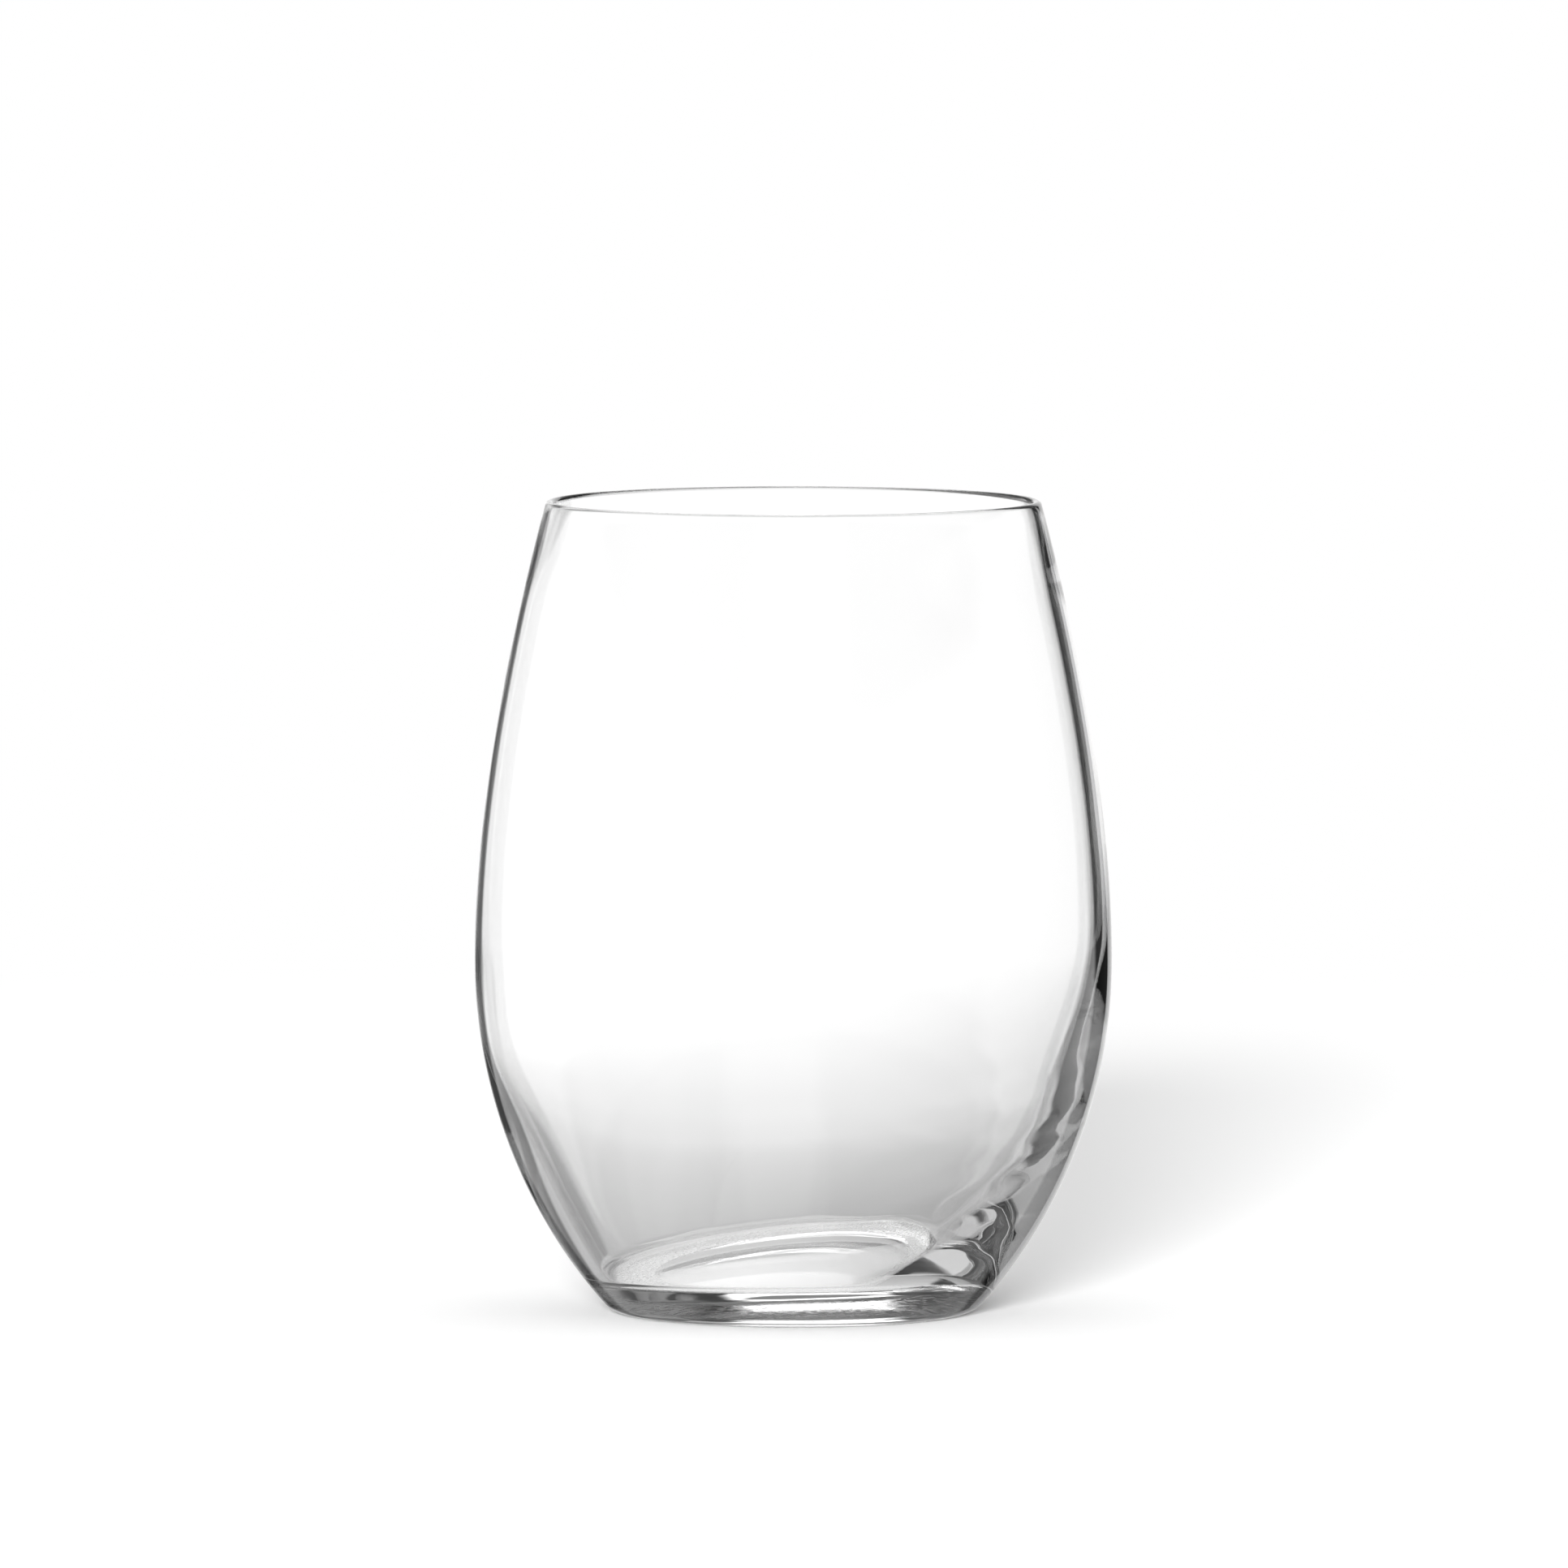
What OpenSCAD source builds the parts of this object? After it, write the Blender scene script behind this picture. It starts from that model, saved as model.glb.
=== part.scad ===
// Stemless water glass: one piece of clear blown glass, turned about the Z axis.
// The origin is on the table at the middle of the standing ring, with +Z up. Sizes are millimetres.

/* [Outside] */
// Height from the table to the top of the lip
height = 105; // [92:0.5:130]
// Outside diameter at the lip
rim_d = 64.2; // [56:0.2:76]
// Outside diameter at the widest point of the bowl
belly_d = 82.4; // [74:0.2:96]
// Height of the widest point above the table
belly_z = 45.5; // [40:0.5:58]
// How far above the widest point the tangents to both ends of the upper wall's outside meet
shoulder_rise = 24.5; // [10:0.5:35]

/* [Wall] */
// Wall thickness at the lip, which is rounded over to a full half circle
rim_wall = 1.25; // [0.8:0.05:2.5]
// How much smaller the hollow's largest radius is than the outside's
belly_wall = 1.6; // [1.2:0.05:4]
// How far the widest point of the hollow lies above that of the outside
hollow_rise = 3.5; // [0:0.25:6]

/* [Base] */
// Outside diameter of the flat standing ring
foot_d = 43.8; // [38:0.2:54]
// Radius of the heel that rounds the standing ring into the wall
heel_r = 3.5; // [1.5:0.25:7]
// Diameter of the hollow underside, which is the inside of the standing ring
punt_d = 34; // [24:0.5:37]
// Depth of the hollow underside at its middle
punt_depth = 1.2; // [0.4:0.1:2.5]
// Radius that rounds the hollow underside into the standing ring
punt_edge_r = 1.5; // [0.5:0.1:3]
// Height of the inside floor above the table
floor_z = 6; // [4:0.25:10]
// Diameter of the flat part of the inside floor
floor_d = 42; // [28:0.5:46]
// Radius of the fillet between the inside floor and the inside wall
floor_fillet_r = 2.5; // [1.5:0.25:8]

/* [Hidden] */

// Clear soda-lime glass
glass_colour = [0.9, 0.94, 0.95, 0.35];

// Fineness of the outline: degrees of an arc for each chord, and chords along the upper wall
arc_step = 2;
wall_steps = 24;
// Sides of the turned solid
turn_sides = 180;

belly_r = belly_d / 2;
foot_r = foot_d / 2;
punt_r = punt_d / 2;
floor_r = floor_d / 2;
lip_r = rim_wall / 2;

// Widest points of the outside and of the hollow
outer_widest = [belly_r, belly_z];
inner_widest = [belly_r - belly_wall, belly_z + hollow_rise];

// Direction from one point to another, in degrees
function heading(a, b) = atan2(b.y - a.y, b.x - a.x);

// Both faces of the upper wall run up to the half circle of the lip side by side: the outside comes straight
// from the shoulder, and the last stretch of the inside is parallel to it
lip_centre = [rim_d / 2 - lip_r, height - lip_r];
shoulder = [belly_r, belly_z + shoulder_rise];
lip_heading = heading(shoulder, lip_centre) - asin(lip_r / norm(lip_centre - shoulder));
lip_across = lip_r * [sin(lip_heading), -cos(lip_heading)];

// Centres of the heel, of the inside fillet and of the rounded edge of the hollow underside
heel_centre = [foot_r, heel_r];
fillet_centre = [floor_r, floor_z + floor_fillet_r];
punt_edge_centre = [punt_r, punt_edge_r];

// Radius of the arc that is upright at the widest point and runs into a fillet standing on a flat:
// reach goes from the centre of that fillet to the widest point
function lower_wall_r(reach, fillet_r) = (reach * reach - fillet_r ^ 2) / (2 * (reach.x - fillet_r));

// Lower walls, outside and inside: the radius of each arc and its centre
outer_lower_r = lower_wall_r(outer_widest - heel_centre, heel_r);
inner_lower_r = lower_wall_r(inner_widest - fillet_centre, floor_fillet_r);
outer_lower_centre = outer_widest - [outer_lower_r, 0];
inner_lower_centre = inner_widest - [inner_lower_r, 0];

// The hollow underside is part of a sphere that meets its rounded edge smoothly
punt_sphere_r = (punt_r ^ 2 + punt_depth ^ 2 - 2 * punt_edge_r * punt_depth) / (2 * punt_depth);
punt_sphere_centre = [0, punt_depth - punt_sphere_r];

heel_angle = heading(outer_lower_centre, heel_centre);
fillet_angle = heading(inner_lower_centre, fillet_centre);
punt_angle = heading(punt_sphere_centre, punt_edge_centre);

// Points along an arc, without its last one, because that is the first of the next stretch
function arc(centre, radius, from, to) =
    let (steps = max(1, ceil(abs(to - from) / arc_step)))
    [for (i = [0:steps - 1])
        let (a = from + (to - from) * i / steps)
        centre + radius * [cos(a), sin(a)]];

// Point on one face of the upper wall, a curve that is upright at its widest point and then leans in to the lip:
// t runs from 0 at the widest point to 1 at the lip
function upper_wall(t, widest, top) =
    let (bend = [widest.x, top.y + (widest.x - top.x) * tan(lip_heading)])
    (1 - t) ^ 2 * widest + 2 * t * (1 - t) * bend + t ^ 2 * top;

// Hollow underside, from the axis to the standing ring
function underside() = concat(
    arc(punt_sphere_centre, punt_sphere_r, 90, punt_angle),
    arc(punt_edge_centre, punt_edge_r, punt_angle - 180, -90),
    [[punt_r, 0]]);

// Outside of the glass, from the standing ring up to the lip
function outside() = concat(
    arc(heel_centre, heel_r, -90, heel_angle),
    arc(outer_lower_centre, outer_lower_r, heel_angle, 0),
    [for (i = [0:wall_steps - 1]) upper_wall(i / wall_steps, outer_widest, lip_centre + lip_across)]);

// Rounded lip, from the outside over to the inside
function lip() = arc(lip_centre, lip_r, lip_heading - 90, lip_heading + 90);

// Inside of the glass, from the lip down to the middle of the floor
function inside() = concat(
    [for (i = [0:wall_steps - 1]) upper_wall(1 - i / wall_steps, inner_widest, lip_centre - lip_across)],
    arc(inner_lower_centre, inner_lower_r, 0, fillet_angle),
    arc(fillet_centre, floor_fillet_r, fillet_angle, -90),
    [[floor_r, floor_z], [0, floor_z]]);

// The whole glass: bowl, lip and heavy base are one turned solid
module tumbler() {
    color(glass_colour)
        rotate_extrude($fn = turn_sides)
            polygon(concat(underside(), outside(), lip(), inside()));
}

tumbler();
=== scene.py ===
"""Stemless water glass on a white studio table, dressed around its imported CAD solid.

Lengths of the glass are millimetres, as in the part's source, and those of the studio are metres. Meshes are in
metres, in the frame of the part: origin on the table at the middle of the standing ring, Z up, the photograph taken
from the -Y side.
"""
import logging
import math
from dataclasses import dataclass
from enum import Enum
from typing import Any

import bpy
import numpy as np
from mathutils import Euler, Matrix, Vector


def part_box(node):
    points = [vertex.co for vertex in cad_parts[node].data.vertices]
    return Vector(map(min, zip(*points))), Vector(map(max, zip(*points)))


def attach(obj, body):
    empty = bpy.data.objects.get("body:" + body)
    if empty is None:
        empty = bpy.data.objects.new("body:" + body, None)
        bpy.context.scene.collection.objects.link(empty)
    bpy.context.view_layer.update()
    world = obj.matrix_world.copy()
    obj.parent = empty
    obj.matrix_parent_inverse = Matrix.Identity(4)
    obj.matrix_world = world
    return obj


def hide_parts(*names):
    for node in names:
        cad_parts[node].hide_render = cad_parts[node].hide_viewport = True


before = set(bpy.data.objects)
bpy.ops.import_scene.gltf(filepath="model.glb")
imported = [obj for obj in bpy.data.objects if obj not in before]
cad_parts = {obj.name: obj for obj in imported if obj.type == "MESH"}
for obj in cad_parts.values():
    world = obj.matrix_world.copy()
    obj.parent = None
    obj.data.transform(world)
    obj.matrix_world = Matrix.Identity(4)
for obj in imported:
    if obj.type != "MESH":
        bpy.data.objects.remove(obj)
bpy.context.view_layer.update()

LOG = logging.getLogger("water_glass")
MM = 0.001
WHITE = "FFFFFF"

# Settings of a Map Range that leaves one level and reaches the next without a corner
EASE = {"interpolation_type": "SMOOTHSTEP"}

# Where a run starts and ends, and the place and level of each stop of a ramp
Span = tuple[float, float]
Stops = tuple[tuple[float, float], ...]


class Face(Enum):
    """Side of the glass wall, as the sign of its place across the lip."""

    OUTSIDE = 1
    INSIDE = -1


def linear(hex_colour: str) -> tuple[float, float, float, float]:
    """Turns an sRGB hex colour into the linear values that the shaders take.

    Args:
        hex_colour: Six hex digits, red first.

    Returns:
        Red, green, blue and an alpha of 1.
    """
    srgb = np.array([int(hex_colour[i:i + 2], 16) for i in (0, 2, 4)]) / 255
    rgb = np.where(srgb <= 0.04045, srgb / 12.92, ((srgb + 0.055) / 1.055) ** 2.4)
    return (*(float(c) for c in rgb), 1.0)


def add_node(tree: bpy.types.NodeTree, kind: str, inputs: dict[Any, Any] | tuple = (), stops: Stops = (),
             **settings: Any) -> Any:
    """Adds a shader node with its settings and links.

    Args:
        tree: Tree that the node goes into.
        kind: Blender's name for the kind of node, after "ShaderNode".
        inputs: What each input takes, in order or by the input's name or number: a value, a socket, or a node, which
            stands for its first output.
        stops: Place and level of each stop, in order, where the node is a ramp.
        settings: Properties of the node itself.

    Returns:
        The new node.
    """
    node = tree.nodes.new("ShaderNode" + kind)
    for name, value in settings.items():
        setattr(node, name, value)
    for key, value in (inputs if isinstance(inputs, dict) else dict(enumerate(inputs))).items():
        source = value.outputs[0] if isinstance(value, bpy.types.Node) else value
        if isinstance(source, bpy.types.NodeSocket):
            tree.links.new(source, node.inputs[key])
        else:
            node.inputs[key].default_value = source
    if stops:
        elements = node.color_ramp.elements
        while len(elements) < len(stops):
            elements.new(1.0)
        for element, (place, level) in zip(elements, stops):
            element.position = place
            element.color = (level, level, level, 1)
    return node


def new_material(name: str) -> tuple[bpy.types.Material, bpy.types.NodeTree]:
    """Makes an empty node material.

    Args:
        name: What the real material is.

    Returns:
        The material and its node tree.
    """
    material = bpy.data.materials.new(name)
    material.use_nodes = True
    material.node_tree.nodes.clear()
    return material, material.node_tree


def add_mesh(name: str, points: np.ndarray, *faces: np.ndarray) -> bpy.types.Object:
    """Puts a mesh into the scene.

    Args:
        name: Name of the object and of its mesh.
        points: One row of X, Y and Z in metres for each point.
        faces: Arrays with one row of point numbers for each face.

    Returns:
        The new object.
    """
    mesh = bpy.data.meshes.new(name)
    mesh.from_pydata(points.tolist(), [], [face for rows in faces for face in rows.tolist()])
    piece = bpy.data.objects.new(name, mesh)
    bpy.context.scene.collection.objects.link(piece)
    return piece


def arc(centre: np.ndarray, radius: float, start: float, end: float, steps: int) -> np.ndarray:
    """Points on a circle: centre plus radius times (cosine, sine) of evenly spread angles, without the last one.

    Args:
        centre: Middle of the circle, as radius and height.
        radius: Radius of the circle.
        start: First angle in radians.
        end: Angle in radians that the next stretch starts from.
        steps: Number of points.

    Returns:
        One row of radius and height for each point.
    """
    angle = np.linspace(start, end, steps, endpoint=False)[:, None]
    return centre + radius * np.hstack([np.cos(angle), np.sin(angle)])


def heading(start: np.ndarray, end: np.ndarray) -> float:
    """Direction in radians from one point of the outline to another."""
    return math.atan2(end[1] - start[1], end[0] - start[0])


def smooth(value: np.ndarray, start: float, end: float) -> np.ndarray:
    """Runs from 0 at start to 1 at end with level ends: 3 t squared minus 2 t cubed."""
    t = np.clip((value - start) / (end - start), 0, 1)
    return t * t * (3 - 2 * t)


def sines(rises: Span) -> list[float]:
    """Height of a unit direction for each rise in degrees above the horizon."""
    return [math.sin(math.radians(rise)) for rise in rises]


@dataclass(frozen=True)
class ClearGlass:
    """Soda-lime glass, blown and fire-polished: colourless and mirror-smooth, grey only where light runs far in it.

    Slow waves from the mould stir what is seen through the wall, and the standing ring is scuffed by tables.
    """

    tint: str = WHITE
    ior: float = 1.52
    body: str = "E0E0E0"
    density: float = 24.0
    # Waves: pitch, depth and layers of finer ones
    wave_mm: float = 14.0
    wave_depth_mm: float = 0.02
    wave_detail: float = 1.0
    # Scuffs: roughness, width, layers of finer ones, how far up they reach, and how sharply each one ends
    scuff: float = 0.35
    scuff_mm: float = 0.5
    scuff_detail: float = 3.0
    scuff_top_mm: float = 0.25
    scuff_ends: Span = (0.4, 0.6)

    def material(self) -> bpy.types.Material:
        """Makes the material.

        Returns:
            A clear refracting material.
        """
        material, tree = new_material("soda_lime_glass_fire_polished")
        place = add_node(tree, "TexCoord").outputs["Object"]
        # Slow waves left by the blowing mould: a faint stir in everything seen through the wall
        waves = add_node(tree, "TexNoise", {
            "Vector": place, "Scale": 1 / (self.wave_mm * MM), "Detail": self.wave_detail})
        stir = add_node(tree, "Bump", {"Height": waves, "Strength": 1.0, "Distance": self.wave_depth_mm * MM})
        # Fine scuffs on the ring that the glass stands on: a thin frosted line under the base
        scuffs = add_node(tree, "TexNoise", {
            "Vector": place, "Scale": 1 / (self.scuff_mm * MM), "Detail": self.scuff_detail})
        marks = add_node(tree, "MapRange", (scuffs, *self.scuff_ends), **EASE)
        height = add_node(tree, "SeparateXYZ", (place,)).outputs["Z"]
        worn = add_node(tree, "MapRange", (height, 0.0, self.scuff_top_mm * MM, self.scuff, 0.0), **EASE)
        rough = add_node(tree, "Math", (marks, worn), operation="MULTIPLY")
        shader = add_node(tree, "BsdfPrincipled", {
            "Base Color": linear(self.tint), "Roughness": rough, "IOR": self.ior, "Normal": stir,
            "Transmission Weight": 1.0})
        # Grey-white body: dark edges where light is caught in the wall, clear where it only crosses it
        body = add_node(tree, "VolumeAbsorption", {"Color": linear(self.body), "Density": self.density})
        add_node(tree, "OutputMaterial", {"Surface": shader, "Volume": body})
        return material


@dataclass(frozen=True)
class WhitePaper:
    """Matt white paper sweep: it keeps the shadow of the glass and runs out into plain white. Lengths are metres."""

    colour: str = WHITE
    # Radius of the sheet, and radius where it starts to run out into white
    sheet_r: float = 0.55
    fade_r: float = 0.36
    # Distance from the middle of the glass, and how bright the sheet there is in what the glass bends and mirrors: a
    # painted shade, darker near the glass
    painted_shade_tones: Stops = ((0.0, 0.9), (0.021, 0.9), (0.024, 0.5), (0.042, 0.54), (0.054, 0.585), (0.065, 0.615),
                    (0.086, 0.675), (0.098, 0.725), (0.110, 0.805), (0.135, 0.87), (0.162, 0.905), (0.19, 0.95),
                    (0.22, 0.98), (0.26, 1.0))

    def material(self) -> bpy.types.Material:
        """Makes the material.

        Returns:
            Matt white for the camera. For the glass it is the room beyond, toned down by a shade painted around the
            glass.
        """
        material, tree = new_material("white_paper_sweep")
        place = add_node(tree, "TexCoord").outputs["Object"]
        away = add_node(tree, "VectorMath", (place,), operation="LENGTH").outputs["Value"]
        # The shadow falls on the matt paper, which glows a plain white towards its edge
        paper = add_node(tree, "BsdfDiffuse", {"Color": linear(self.colour)})
        sweep = add_node(tree, "Emission", {"Color": linear(self.colour), "Strength": 1.0})
        fade = add_node(tree, "MapRange", (away, self.fade_r, self.sheet_r), **EASE)
        shown = add_node(tree, "MixShader", (fade, paper, sweep))
        # Painted shade around the base, set by distance from the glass: the lower half of the bowl greys towards the
        # floor
        span = self.painted_shade_tones[-1][0]
        share = add_node(tree, "Math", (away, span), operation="DIVIDE")
        painted_shade_level = add_node(tree, "ValToRGB", (share,), tuple((at / span, level) for at, level in self.painted_shade_tones))
        # What passes the sheet is tinted by the painted shade
        painted_shade_sheet = add_node(tree, "BsdfTransparent", {"Color": painted_shade_level})
        path = add_node(tree, "LightPath").outputs
        bent = add_node(tree, "Math", (path["Is Transmission Ray"], path["Is Glossy Ray"]), operation="MAXIMUM")
        both = add_node(tree, "MixShader", (bent, shown, painted_shade_sheet))
        add_node(tree, "OutputMaterial", {"Surface": both})
        return material


@dataclass(frozen=True)
class Fineness:
    """Points along each stretch of the glass's outline, and turns of the outline around the axis."""

    punt: int = 14
    punt_edge: int = 6
    ring: int = 6
    heel: int = 22
    outer_lower: int = 56
    upper: int = 50
    lip: int = 16
    inner_lower: int = 48
    fillet: int = 18
    floor: int = 16
    turns: int = 320


@dataclass
class Tumbler:
    """The whole glass: bowl, lip and heavy base in one blown piece. Sizes are millimetres."""

    # Outside
    height: float = 105.0
    rim_d: float = 64.2
    belly_d: float = 82.4
    belly_z: float = 45.5
    shoulder_rise: float = 24.5
    # Wall
    rim_wall: float = 1.25
    belly_wall: float = 1.6
    hollow_rise: float = 3.5
    # Base
    foot_d: float = 43.8
    heel_r: float = 3.5
    punt_d: float = 34.0
    punt_depth: float = 1.2
    punt_edge_r: float = 1.5
    floor_z: float = 6.0
    floor_d: float = 42.0
    floor_fillet_r: float = 2.5
    # Lean of the hollow: in the whole bowl from below the lip, around one height, and at the floor
    lean_top: float = 0.5
    lean_start: Span = (1.0, 14.0)
    lean_low: float = 0.45
    lean_z: float = 32.0
    lean_reach: float = 9.0
    lean_base: float = 1.6
    lean_fall: float = 11.0
    # Slope of the floor
    tilt: float = 0.025
    tilt_fall: float = 8.0
    # Waves in the thick wall: depth, middle height and reach, pitch, and how far round they go by cosine of the angle
    ripple: float = 0.03
    ripple_z: float = 18.0
    ripple_reach: float = 11.0
    ripple_pitch: float = 7.0
    ripple_side: Span = (0.1, 0.9)
    # Bends of the waves around the glass in radians, their number, and their twist in radians per millimetre of height
    ripple_bend: float = 2.2
    ripple_bends: int = 5
    ripple_twist: float = 0.15
    # Finer waves: share of the depth and of the pitch, and number around the glass
    ripple_fine: float = 0.6
    ripple_fine_turns: int = 13
    fine: Fineness = Fineness()
    finish: ClearGlass = ClearGlass()

    def lip(self) -> tuple[np.ndarray, float]:
        """Finds the half circle that rounds the lip and the wall that runs straight into it.

        Returns:
            Centre of the half circle, and the direction of the wall in radians.
        """
        centre = np.array([(self.rim_d - self.rim_wall) / 2, self.height - self.rim_wall / 2])
        shoulder = np.array([self.belly_d / 2, self.belly_z + self.shoulder_rise])
        reach = float(np.linalg.norm(centre - shoulder))
        return centre, heading(shoulder, centre) - math.asin(self.rim_wall / 2 / reach)

    def widest(self, face: Face) -> np.ndarray:
        """Finds the widest point of one face; the hollow's lies higher than the outside's.

        Args:
            face: Side of the wall.

        Returns:
            Radius and height of the point.
        """
        if face is Face.OUTSIDE:
            return np.array([self.belly_d / 2, self.belly_z])
        return np.array([self.belly_d / 2 - self.belly_wall, self.belly_z + self.hollow_rise])

    def upper_wall(self, face: Face) -> np.ndarray:
        """One face of the upper wall, as a quadratic curve that is upright at its widest point and tangent to the lip.

        Args:
            face: Side of the wall; the outside runs up to the lip, the inside down from it.

        Returns:
            One row of radius and height for each point, without the one that the next stretch starts from.
        """
        centre, lean = self.lip()
        top = centre + face.value * self.rim_wall / 2 * np.array([math.sin(lean), -math.cos(lean)])
        foot = self.widest(face)
        bend = np.array([foot[0], top[1] + (foot[0] - top[0]) * math.tan(lean)])
        first, last = (foot, top) if face is Face.OUTSIDE else (top, foot)
        t = np.linspace(0, 1, self.fine.upper, endpoint=False)[:, None]
        return (1 - t) ** 2 * first + 2 * t * (1 - t) * bend + t ** 2 * last

    def lower_wall(self, face: Face, fillet: np.ndarray, fillet_r: float) -> tuple[np.ndarray, float]:
        """Arc that is upright at the widest point and runs into the fillet below it without a corner.

        Args:
            face: Side of the wall.
            fillet: Centre of the fillet.
            fillet_r: Radius of the fillet.

        Returns:
            Centre and radius of the arc.
        """
        widest = self.widest(face)
        run, drop = widest - fillet
        radius = (run ** 2 + drop ** 2 - fillet_r ** 2) / (2 * (run - fillet_r))
        return widest - [radius, 0], radius

    def underside(self) -> tuple[np.ndarray, float]:
        """Part of a sphere that hollows the underside and meets its rounded edge without a corner.

        Returns:
            Centre and radius of the sphere.
        """
        depth = self.punt_depth
        radius = ((self.punt_d / 2) ** 2 + depth ** 2 - 2 * self.punt_edge_r * depth) / (2 * depth)
        return np.array([0.0, depth - radius]), radius

    def outline(self) -> tuple[np.ndarray, int]:
        """Half of the glass's section, from the axis under the base, up the outside, over the lip and down the inside.

        Returns:
            One row of radius and height for each point, and the row where the inside begins.
        """
        fine, quarter = self.fine, math.pi / 2
        heel = np.array([self.foot_d / 2, self.heel_r])
        fillet = np.array([self.floor_d / 2, self.floor_z + self.floor_fillet_r])
        edge = np.array([self.punt_d / 2, self.punt_edge_r])
        outer_c, outer_r = self.lower_wall(Face.OUTSIDE, heel, self.heel_r)
        inner_c, inner_r = self.lower_wall(Face.INSIDE, fillet, self.floor_fillet_r)
        punt_c, punt_r = self.underside()
        lip_c, lean = self.lip()
        punt_a, heel_a, fillet_a = heading(punt_c, edge), heading(outer_c, heel), heading(inner_c, fillet)
        outside = np.vstack([
            arc(punt_c, punt_r, quarter, punt_a, fine.punt),
            arc(edge, self.punt_edge_r, punt_a - math.pi, -quarter, fine.punt_edge),
            np.linspace(edge * [1, 0], heel * [1, 0], fine.ring, endpoint=False),
            arc(heel, self.heel_r, -quarter, heel_a, fine.heel),
            arc(outer_c, outer_r, heel_a, 0, fine.outer_lower),
            self.upper_wall(Face.OUTSIDE),
            arc(lip_c, self.rim_wall / 2, lean - quarter, lean + quarter, fine.lip)])
        inside = np.vstack([
            self.upper_wall(Face.INSIDE),
            arc(inner_c, inner_r, 0, fillet_a, fine.inner_lower),
            arc(fillet, self.floor_fillet_r, fillet_a, -quarter, fine.fillet),
            np.linspace(fillet - [0, self.floor_fillet_r], [0, self.floor_z], fine.floor)])
        return np.vstack([outside, inside]), len(outside)

    def uneven(self, points: np.ndarray) -> np.ndarray:
        """Moves the true inside to where the blown one settled.

        The hollow leans to -X by a constant, a bell curve below the belly and an exponential that dies away above the
        floor. The floor rises towards +X, and waves in height and angle run over the thick wall on the +X side.

        Args:
            points: Points of the inside, one row of X, Y and Z each.

        Returns:
            The moved points.
        """
        x, y, z = points.T
        rise = z - self.floor_z
        lean = self.lean_top * smooth(self.height - z, *self.lean_start)
        lean = lean + self.lean_low * np.exp(-((z - self.lean_z) / self.lean_reach) ** 2)
        lean = lean + self.lean_base * np.exp(-rise / self.lean_fall)
        turn = np.arctan2(y, x)
        phase = 2 * math.pi * z / self.ripple_pitch
        wave = np.sin(phase + self.ripple_bend * np.sin(self.ripple_bends * turn + self.ripple_twist * z))
        wave = wave + self.ripple_fine * np.sin(phase / self.ripple_fine - self.ripple_fine_turns * turn)
        reach = np.exp(-((z - self.ripple_z) / self.ripple_reach) ** 2) * smooth(np.cos(turn), *self.ripple_side)
        out = self.ripple * wave * reach
        return np.stack([x - lean + out * np.cos(turn), y + out * np.sin(turn),
                         z + self.tilt * x * np.exp(-rise / self.tilt_fall)], axis=-1)

    def build(self) -> bpy.types.Object:
        """Turns the outline about the Z axis: (r cos a, r sin a, z) on a grid of outline point by angle a.

        Returns:
            The glass as one closed mesh.
        """
        outline, first_inside = self.outline()
        ring, turns = outline[1:-1], self.fine.turns
        angle = np.linspace(0, 2 * math.pi, turns, endpoint=False)
        grid = np.stack([ring[:, :1] * np.cos(angle), ring[:, :1] * np.sin(angle),
                         np.repeat(ring[:, 1:], turns, axis=1)], axis=-1)
        points = np.vstack([[[0, 0, outline[0, 1]]], grid.reshape(-1, 3), [[0, 0, outline[-1, 1]]]])
        start = 1 + (first_inside - 1) * turns
        points[start:] = self.uneven(points[start:])
        index = 1 + np.arange(len(ring) * turns).reshape(len(ring), turns)
        turned = np.roll(index, -1, axis=1)
        quads = np.stack([index[:-1], turned[:-1], turned[1:], index[1:]], axis=-1).reshape(-1, 4)
        under, over = np.zeros(turns, int), np.full(turns, index.size + 1)
        glass = add_mesh("tumbler_glass", points * MM, quads, np.stack([under, turned[0], index[0]], axis=-1),
                         np.stack([over, index[-1], turned[-1]], axis=-1))
        glass.data.polygons.foreach_set("use_smooth", np.ones(len(glass.data.polygons), bool))
        glass.data.update()
        return glass

    def dress(self, glass: bpy.types.Object) -> None:
        """Gives the glass its finish and puts it in the place of the CAD node.

        Args:
            glass: The built piece.
        """
        glass.data.materials.append(self.finish.material())
        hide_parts("tumbler")
        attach(glass, "root")


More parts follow.
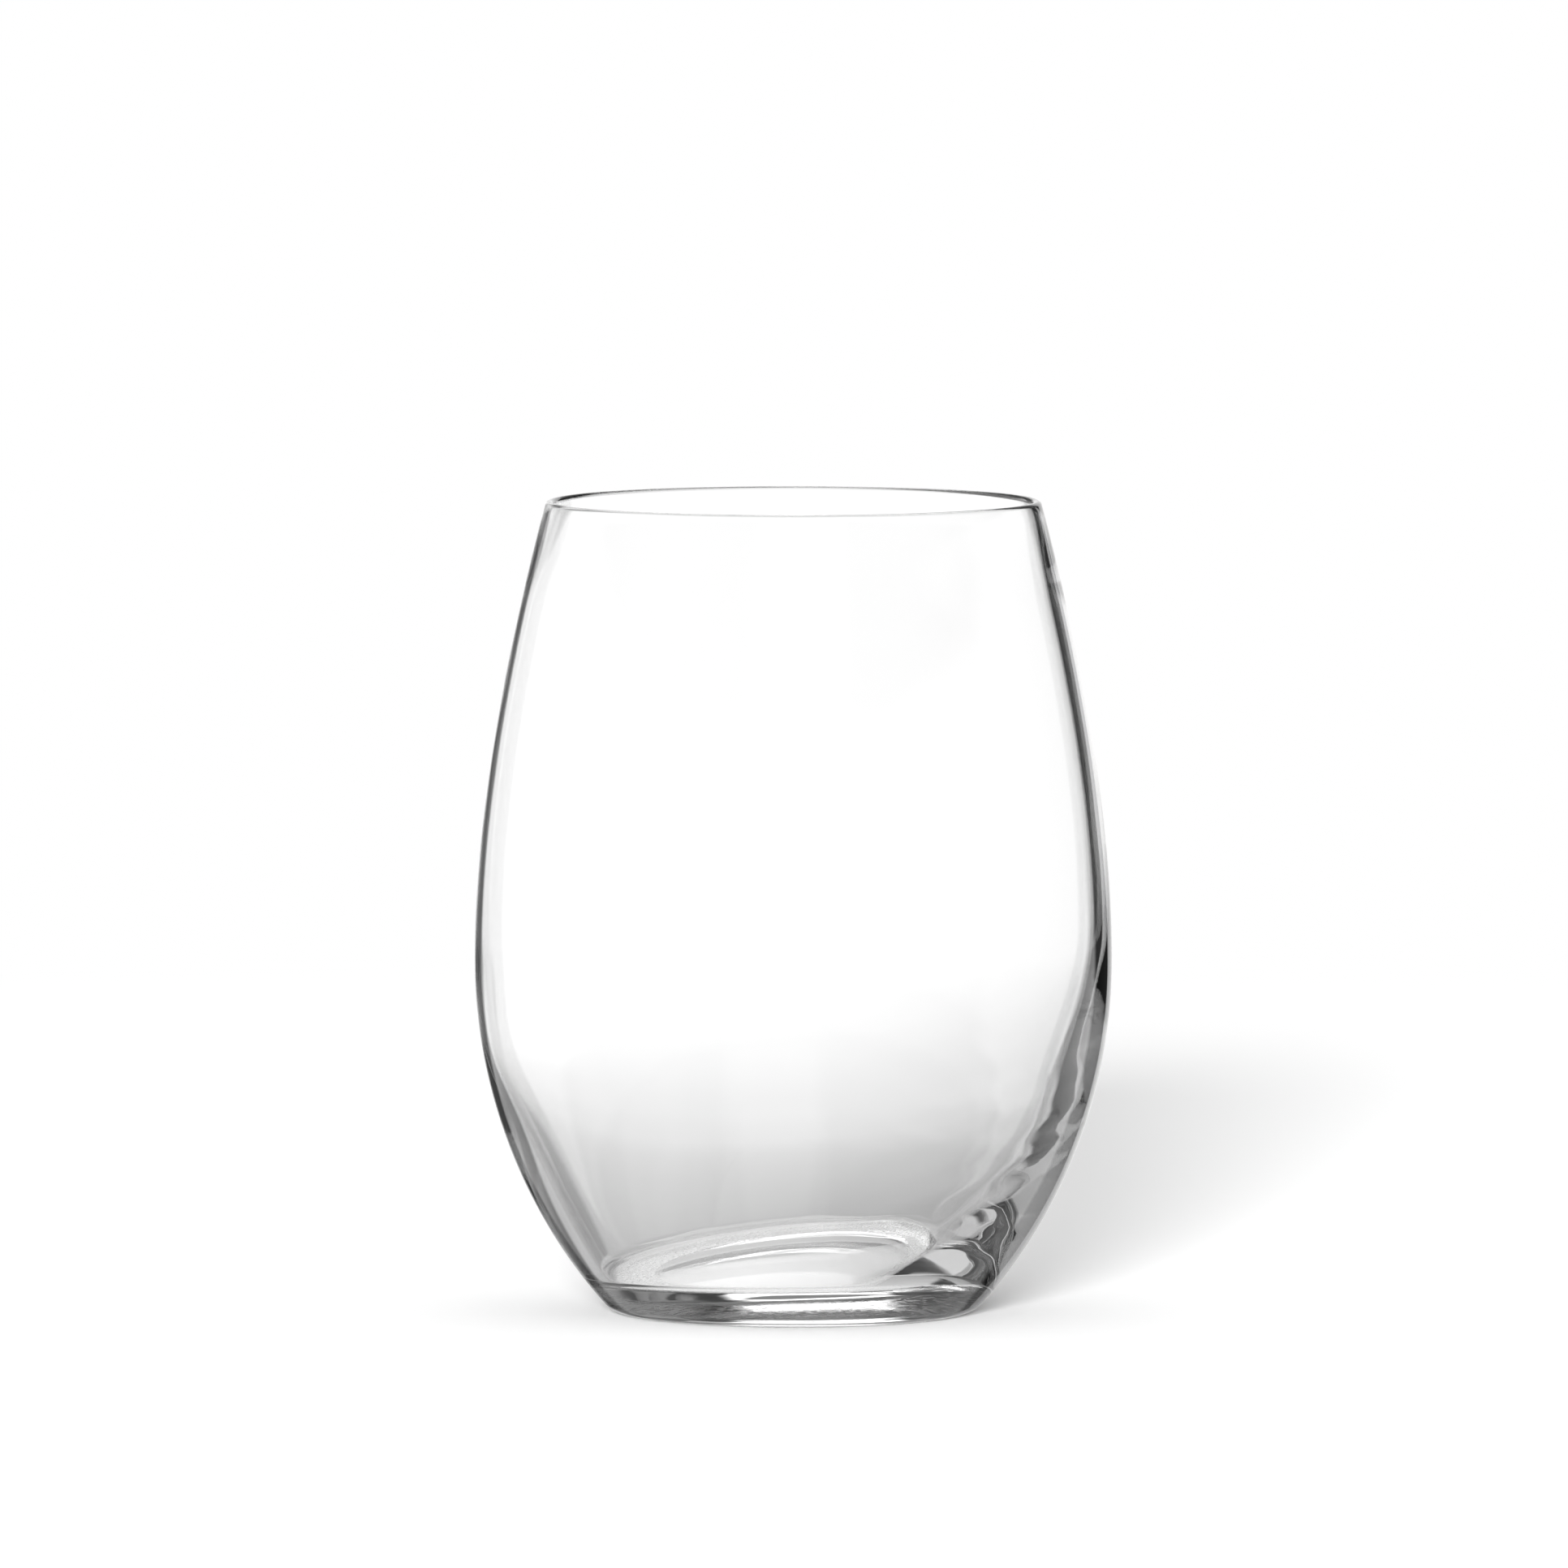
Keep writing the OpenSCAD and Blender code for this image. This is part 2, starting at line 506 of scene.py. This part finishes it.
@dataclass
class Studio:
    """White table, surroundings, lamp and camera. Lengths are metres, angles degrees.

    The surroundings are levels of light by direction. A turn is counted from straight behind the glass to the right,
    and a rise from the horizon. X and Y are those of the unit direction.
    """

    # Table: gap under the glass, and the rings and turns of its mesh
    air_gap: float = 0.00005
    first_ring_r: float = 0.05
    rings: int = 8
    turns: int = 64
    paper: WhitePaper = WhitePaper()
    # Light on the table from all round
    ambient: float = 0.7
    # Backdrop by turn, with a dark card on each side of it
    panels: Stops = ((-90, 1.05), (-26, 1.05), (-23, 0.13), (-12.5, 0.1), (-11, 0.5), (-8, 0.62),
                     (-7.4, 1.1), (-4, 1.14), (2, 1.12), (5, 1.04), (9, 0.99), (13, 0.94), (19, 0.86), (20.5, 0.04),
                     (37, 0.03), (40, 1.05), (90, 1.05))
    # Room in front, below and above the horizon, and the Y where it ends at the backdrop
    front: float = 1.05
    front_to: Span = (-9.0, 3.0)
    ceiling: float = 0.6
    front_back: Span = (-0.1, 0.1)
    # Table seen steeply from above
    steep: float = 1.0
    steep_to: Span = (-31.0, -26.0)
    # Dim gap over the backdrop, then a soft box: level and rise of each, and how softly they start
    gap: float = 0.3
    gap_rise: float = 13.0
    box: float = 3.2
    box_rise: float = 30.0
    edge: float = 4.0
    # Middle of both in X, half their width, and the Y where the box starts
    box_mid: float = 0.06
    box_half: Span = (0.27, 0.36)
    box_back: Span = (0.1, 0.28)
    # Dark room beside them, and a grey wing from some X on
    dark: float = 0.03
    wing: float = 0.4
    wing_from: Span = (0.56, 0.66)
    # Lamp: strength, width as an angle, turn and rise
    sun_power: float = 6.2
    sun_spread: float = 15.0
    sun_turn: float = 7.0
    sun_rise: float = 12.0
    # Camera: place, pitch, nearest and farthest view, and lens and sensor in millimetres
    camera_distance: float = 2.8
    camera_height: float = 0.2706
    camera_side: float = -0.0012
    camera_pitch: float = 4.132
    camera_clip: Span = (0.05, 50.0)
    lens: float = 498.97
    sensor: float = 36.0
    # How often light may bend or mirror on its way through the glass
    bounces: int = 48

    def floor(self) -> None:
        """Lays the table top, a flat disc on a grid of radius by angle, a hair below the glass that stands on it."""
        shape = (self.rings, self.turns)
        radius = np.linspace(self.first_ring_r, self.paper.sheet_r, self.rings)[:, None]
        angle = np.linspace(0, 2 * math.pi, self.turns, endpoint=False)
        grid = np.stack([radius * np.cos(angle), radius * np.sin(angle), np.full(shape, -self.air_gap)], axis=-1)
        points = np.vstack([grid.reshape(-1, 3), [[0, 0, -self.air_gap]]])
        index = np.arange(self.rings * self.turns).reshape(shape)
        turned = np.roll(index, -1, axis=1)
        quads = np.stack([index[:-1], index[1:], turned[1:], turned[:-1]], axis=-1).reshape(-1, 4)
        fan = np.stack([np.full(self.turns, index.size), index[0], turned[0]], axis=-1)
        table = add_mesh("table_top", points, quads, fan)
        table.data.materials.append(self.paper.material())

    def walls(self, tree: bpy.types.NodeTree, x: Any, y: Any, z: Any) -> Any:
        """Adds the room up to a little above the horizon: the backdrop with its cards, the front, and what is below.

        Args:
            tree: Tree that the nodes go into.
            x: Socket with the X of the direction.
            y: Socket with its Y.
            z: Socket with its Z.

        Returns:
            Node with the level of light.
        """
        quarter = math.pi / 2
        turn = add_node(tree, "Math", (x, y), operation="ARCTAN2")
        turn = add_node(tree, "Math", (turn, quarter, -quarter), operation="WRAP")
        share = add_node(tree, "MapRange", (turn, -quarter, quarter))
        behind = add_node(tree, "ValToRGB", (share,), tuple((at / 180 + 0.5, level) for at, level in self.panels))
        front = add_node(tree, "MapRange", (z, *sines(self.front_to), self.front, self.ceiling), **EASE)
        back = add_node(tree, "MapRange", (y, *self.front_back), **EASE)
        level = add_node(tree, "Mix", {"Factor": back, "A": front, "B": behind}, data_type="FLOAT")
        down = add_node(tree, "MapRange", (z, *sines(self.steep_to), 1.0, 0.0), **EASE)
        return add_node(tree, "Mix", {"Factor": down, "A": level, "B": self.steep}, data_type="FLOAT")

    def overhead(self, tree: bpy.types.NodeTree, x: Any, y: Any, z: Any, level: Any) -> Any:
        """Adds what is higher up: a dim gap, and a soft box with the dark room beside it and a grey wing on the right.

        Args:
            tree: Tree that the nodes go into.
            x: Socket with the X of the direction.
            y: Socket with its Y.
            z: Socket with its Z.
            level: Node with the level of light lower down.

        Returns:
            Node with the level of light everywhere.
        """
        off = add_node(tree, "Math", (x, self.box_mid), operation="SUBTRACT")
        off = add_node(tree, "Math", (off,), operation="ABSOLUTE")
        within = add_node(tree, "MapRange", (off, *self.box_half, 1.0, 0.0), **EASE)
        gap = add_node(tree, "Mix", {"Factor": within, "A": self.dark, "B": self.gap}, data_type="FLOAT")
        back = add_node(tree, "MapRange", (y, *self.box_back, self.ceiling, self.box), **EASE)
        box = add_node(tree, "Mix", {"Factor": within, "A": self.dark, "B": back}, data_type="FLOAT")
        right = add_node(tree, "MapRange", (x, *self.wing_from), **EASE)
        box = add_node(tree, "Mix", {"Factor": right, "A": box, "B": self.wing}, data_type="FLOAT")
        for rise, shade in ((self.gap_rise, gap), (self.box_rise, box)):
            above = add_node(tree, "MapRange", (z, *sines((rise, rise + self.edge))), **EASE)
            level = add_node(tree, "Mix", {"Factor": above, "A": level, "B": shade}, data_type="FLOAT")
        return level

    def surroundings(self) -> None:
        """Sets the room that shows in the glass. The camera sees plain white, and the table is lit evenly by it."""
        world = bpy.data.worlds.new("studio")
        bpy.context.scene.world = world
        world.use_nodes = True
        tree = world.node_tree
        tree.nodes.clear()
        direction = add_node(tree, "TexCoord").outputs["Generated"]
        x, y, z = add_node(tree, "SeparateXYZ", (direction,)).outputs
        level = self.overhead(tree, x, y, z, self.walls(tree, x, y, z))
        path = add_node(tree, "LightPath").outputs
        seen = add_node(tree, "Mix", {"Factor": path["Is Camera Ray"], "A": level, "B": 1.0}, data_type="FLOAT")
        shown = add_node(tree, "Mix", {
            "Factor": path["Is Diffuse Ray"], "A": seen, "B": self.ambient}, data_type="FLOAT")
        background = add_node(tree, "Background", {"Color": linear(WHITE), "Strength": shown})
        add_node(tree, "OutputWorld", {"Surface": background})

    def lamp(self) -> None:
        """Sets one broad soft light in front of the glass, low and a little to the left, for the shadow behind it."""
        data = bpy.data.lights.new("soft_light", "SUN")
        data.energy = self.sun_power
        data.angle = math.radians(self.sun_spread)
        lamp = bpy.data.objects.new("soft_light", data)
        bpy.context.scene.collection.objects.link(lamp)
        lamp.rotation_euler = Euler((math.radians(90 - self.sun_rise), 0, -math.radians(self.sun_turn)))
        lamp.visible_transmission = False
        lamp.visible_glossy = False

    def camera(self) -> None:
        """Sets the camera where the photograph was taken from, looking along +Y and slightly down."""
        data = bpy.data.cameras.new("camera")
        data.lens = self.lens
        data.sensor_width = self.sensor
        data.clip_start, data.clip_end = self.camera_clip
        camera = bpy.data.objects.new("camera", data)
        bpy.context.scene.collection.objects.link(camera)
        camera.location = (self.camera_side, -self.camera_distance, self.camera_height)
        camera.rotation_euler = Euler((math.radians(90 - self.camera_pitch), 0, 0))
        bpy.context.scene.camera = camera

    def build(self) -> None:
        """Sets up the table, the surroundings, the lamp and the camera."""
        self.floor()
        self.surroundings()
        self.lamp()
        self.camera()
        bpy.context.scene.view_settings.view_transform = "Standard"
        for kind in ("max_bounces", "glossy_bounces", "transmission_bounces"):
            setattr(bpy.context.scene.cycles, kind, self.bounces)


def main() -> None:
    """Builds the glass and its studio, and logs the glass's number of faces."""
    logging.basicConfig(level=logging.INFO, format="%(name)s: %(message)s")
    low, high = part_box("tumbler")
    tumbler = Tumbler(height=(high.z - low.z) / MM, belly_d=(high.x - low.x) / MM)
    glass = tumbler.build()
    tumbler.dress(glass)
    LOG.info("%s: %d faces", glass.name, len(glass.data.polygons))
    Studio().build()


if __name__ == "__main__":
    main()
